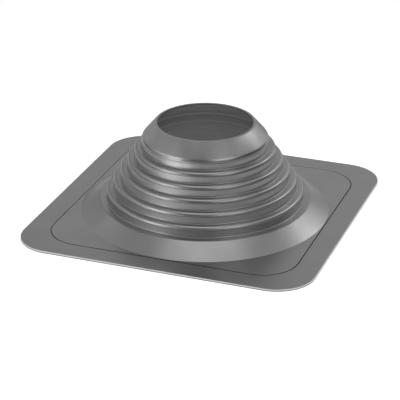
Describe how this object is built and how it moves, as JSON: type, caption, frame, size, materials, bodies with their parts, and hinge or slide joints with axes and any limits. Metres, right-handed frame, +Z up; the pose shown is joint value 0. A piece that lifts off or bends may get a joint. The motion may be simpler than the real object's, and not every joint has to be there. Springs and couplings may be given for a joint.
{
  "type": "pipe flashing boot",
  "caption": "Stepped conical rubber boot on a thin square flange with a flat metal frame; it seals a round pipe where the pipe passes through a roof.",
  "frame": {"origin": "centre of the flat underside of the base", "axes": "+Z up along the pipe, X and Y along the sides of the square base"},
  "size_m": [0.254, 0.254, 0.08],
  "materials": {
    "boot_rubber": "satin mid-grey silicone rubber",
    "frame_aluminium": "satin mid-grey coating"
  },
  "bodies": {
    "root": {"rubber_boot": "boot_rubber", "flange_frame": "frame_aluminium"}
  },
  "joints": []
}
